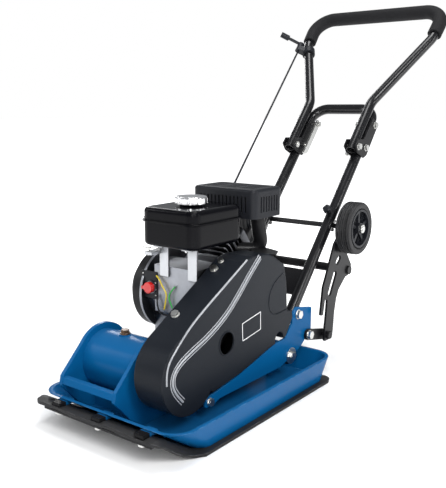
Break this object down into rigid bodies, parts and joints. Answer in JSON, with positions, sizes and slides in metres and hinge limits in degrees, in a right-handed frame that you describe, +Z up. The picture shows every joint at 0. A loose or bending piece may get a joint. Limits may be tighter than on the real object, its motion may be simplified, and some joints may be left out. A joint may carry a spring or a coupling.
{
  "type": "vibratory plate compactor",
  "caption": "Petrol vibratory plate compactor with a rubber paving pad, belt guard, folding loop handle and swing-down transport wheels.",
  "frame": {"origin": "on the ground, on the rubber pad's underside, under the middle of the base plate", "axes": "+X to the belt-guard side, -Y to the front, the way the machine travels, +Z up"},
  "size_m": [0.4381, 1.0748, 0.85],
  "materials": {
    "blue_paint": "semi-gloss blue enamel",
    "black_paint": "satin black enamel",
    "gloss_black": "gloss black enamel",
    "guard_plastic": "moulded, matt",
    "dark_plastic": "moulded, fine grain",
    "rubber": "matt",
    "foam": "soft foam, matt",
    "tyre": "solid rubber",
    "zinc_steel": "zinc plated",
    "chrome": "bright",
    "cast_aluminium": "as cast",
    "steel": "turned",
    "cast_iron": "machined",
    "red_plastic": "moulded",
    "wire": "insulated wire"
  },
  "bodies": {
    "root": {"base_plate": "blue_paint", "rubber_pad": "rubber", "pad_clamp_bar": "zinc_steel", "pad_bolts": "zinc_steel", "exciter_housing": "blue_paint", "exciter_cheeks": "blue_paint", "exciter_end_covers": "blue_paint", "exciter_bearings": "steel", "drive_belt": "rubber", "console_sides": "blue_paint", "engine_deck": "blue_paint", "rubber_buffers": "rubber", "console_bolts": "zinc_steel", "belt_guard": "guard_plastic", "guard_backplate": "black_paint", "crankcase": "cast_aluminium", "cylinder": "cast_aluminium", "cylinder_head": "cast_aluminium", "spark_plug": "dark_plastic", "fan_shroud": "black_paint", "recoil_cover": "black_paint", "ignition_wires": "wire", "fuel_tank": "gloss_black", "tank_brackets": "zinc_steel", "muffler": "black_paint", "muffler_guard": "dark_plastic", "carburetor": "cast_aluminium", "air_filter_box": "dark_plastic", "lower_handle": "gloss_black", "handle_brackets": "black_paint", "handle_bolts": "zinc_steel", "throttle_cable": "dark_plastic", "guard_bolts": "zinc_steel", "oil_plugs": "zinc_steel"},
    "exciter_rotor": {"exciter_shaft": "steel", "eccentric_weight": "cast_iron", "exciter_pulley": "cast_iron"},
    "clutch_output": {"clutch_drum": "steel"},
    "crank": {"crankshaft": "steel", "flywheel": "cast_aluminium", "clutch_hub": "steel"},
    "piston": {"piston": "cast_aluminium"},
    "starter_grip": {"starter_grip": "dark_plastic"},
    "starter_reel": {"starter_reel": "dark_plastic"},
    "switch_knob": {"switch_knob": "red_plastic"},
    "fuel_cap": {"fuel_cap": "chrome"},
    "choke_lever": {"choke_lever": "zinc_steel"},
    "handle": {"upper_handle": "gloss_black", "grip_foam": "foam", "throttle_clamp": "dark_plastic"},
    "throttle_lever": {"throttle_lever": "dark_plastic"},
    "latch_left": {"latch_left": "zinc_steel"},
    "latch_right": {"latch_right": "zinc_steel"},
    "links": {"wheel_links": "black_paint"},
    "carrier": {"carrier_frame": "black_paint", "wheel_axle": "black_paint"},
    "wheel_left": {"rim_left": "dark_plastic", "tyre_left": "tyre"},
    "wheel_right": {"rim_right": "dark_plastic", "tyre_right": "tyre"}
  },
  "joints": [
    {"name": "exciter_spin", "type": "hinge", "parent": "root", "child": "exciter_rotor", "pos_m": [0, -0.14, 0.105], "axis": [1, 0, 0], "continuous": true},
    {"name": "clutch_spin", "type": "hinge", "parent": "root", "child": "clutch_output", "pos_m": [0, 0.026, 0.218], "axis": [1, 0, 0], "continuous": true},
    {"name": "crank_spin", "type": "hinge", "parent": "root", "child": "crank", "pos_m": [0, 0.026, 0.218], "axis": [1, 0, 0], "continuous": true},
    {"name": "piston_slide", "type": "slide", "parent": "root", "child": "piston", "axis": [0, 0.788, 0.6157], "range_m": [-0.023, 0.023]},
    {"name": "starter_pull", "type": "slide", "parent": "root", "child": "starter_grip", "axis": [0, 1, 0], "range_m": [0, 0.06], "stiffness_N_per_m": 20, "springref_m": -0.05},
    {"name": "reel_turn", "type": "hinge", "parent": "root", "child": "starter_reel", "pos_m": [0, 0.026, 0.218], "axis": [1, 0, 0], "range_deg": [-80, 0]},
    {"name": "switch_turn", "type": "hinge", "parent": "root", "child": "switch_knob", "pos_m": [-0.078, -0.062, 0.236], "axis": [0, 1, 0], "range_deg": [0, 60]},
    {"name": "cap_lift", "type": "slide", "parent": "root", "child": "fuel_cap", "axis": [0, 0, 1], "range_m": [0, 0.04]},
    {"name": "choke_turn", "type": "hinge", "parent": "root", "child": "choke_lever", "pos_m": [-0.066, -0.069, 0.32], "axis": [0, 0, 1], "range_deg": [-25, 25]},
    {"name": "handle_fold", "type": "hinge", "parent": "root", "child": "handle", "pos_m": [0, 0.48284, 0.50073], "axis": [1, 0, 0], "range_deg": [0, 130]},
    {"name": "throttle_turn", "type": "hinge", "parent": "handle", "child": "throttle_lever", "pos_m": [-0.18923, 0.68949, 0.76107], "axis": [0, 0.6587, 0.7524], "range_deg": [0, 60]},
    {"name": "latch_left_turn", "type": "hinge", "parent": "root", "child": "latch_left", "pos_m": [0, 0.5661, 0.54878], "axis": [1, 0, 0], "range_deg": [0, 100]},
    {"name": "latch_right_turn", "type": "hinge", "parent": "root", "child": "latch_right", "pos_m": [0, 0.5661, 0.54878], "axis": [1, 0, 0], "range_deg": [0, 100]},
    {"name": "link_turn", "type": "hinge", "parent": "root", "child": "links", "pos_m": [0, 0.256, 0.095], "axis": [1, 0, 0], "range_deg": [-20, 0]},
    {"name": "carrier_turn", "type": "hinge", "parent": "links", "child": "carrier", "pos_m": [0, 0.322, 0.08], "axis": [1, 0, 0], "range_deg": [-79, 0]},
    {"name": "wheel_left_spin", "type": "hinge", "parent": "carrier", "child": "wheel_left", "pos_m": [0, 0.39239, 0.32075], "axis": [1, 0, 0], "continuous": true},
    {"name": "wheel_right_spin", "type": "hinge", "parent": "carrier", "child": "wheel_right", "pos_m": [0, 0.39239, 0.32075], "axis": [1, 0, 0], "continuous": true}
  ],
  "couplings": [
    {"joint": "clutch_spin", "follows": "exciter_spin", "ratio": 1.1905},
    {"joint": "reel_turn", "follows": "starter_pull", "rad_per_m": -21.978}
  ]
}
